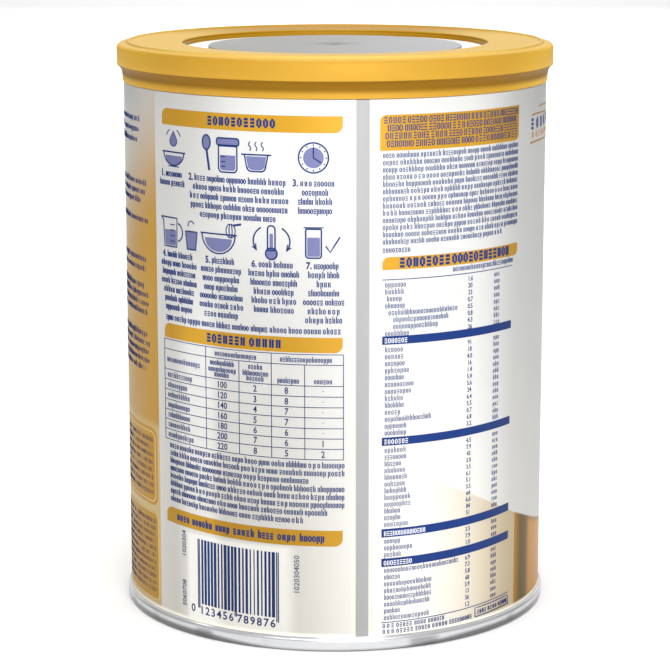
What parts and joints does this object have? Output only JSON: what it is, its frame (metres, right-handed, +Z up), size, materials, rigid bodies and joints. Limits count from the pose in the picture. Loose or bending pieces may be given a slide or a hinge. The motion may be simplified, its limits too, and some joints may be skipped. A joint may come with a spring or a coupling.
{
  "type": "infant formula tin",
  "caption": "Upright round formula tin, shut: printed steel wall, rolled metal seam at the foot, gold push-fit overcap with a sunk white and grey centre.",
  "frame": {"origin": "centre of the flat foot ring that the tin stands on", "axes": "+Z up along the tin's axis, -Y towards the viewer of the printed side"},
  "size_m": [0.131, 0.131, 0.1712],
  "materials": {
    "printed_tinplate": "glossy lacquered print",
    "bare_tinplate": "polished",
    "gold_plastic": "satin pearl",
    "white_plastic": "satin",
    "grey_plastic": "satin",
    "gold_ink": "glossy lacquered ink",
    "blue_ink": "glossy lacquered ink",
    "lavender_ink": "glossy lacquered ink",
    "white_ink": "glossy lacquered ink"
  },
  "bodies": {
    "root": {"tin_body": "printed_tinplate", "bottom_end": "bare_tinplate", "lid": "gold_plastic", "lid_panel": "white_plastic", "centre_disc": "grey_plastic"}
  },
  "joints": []
}
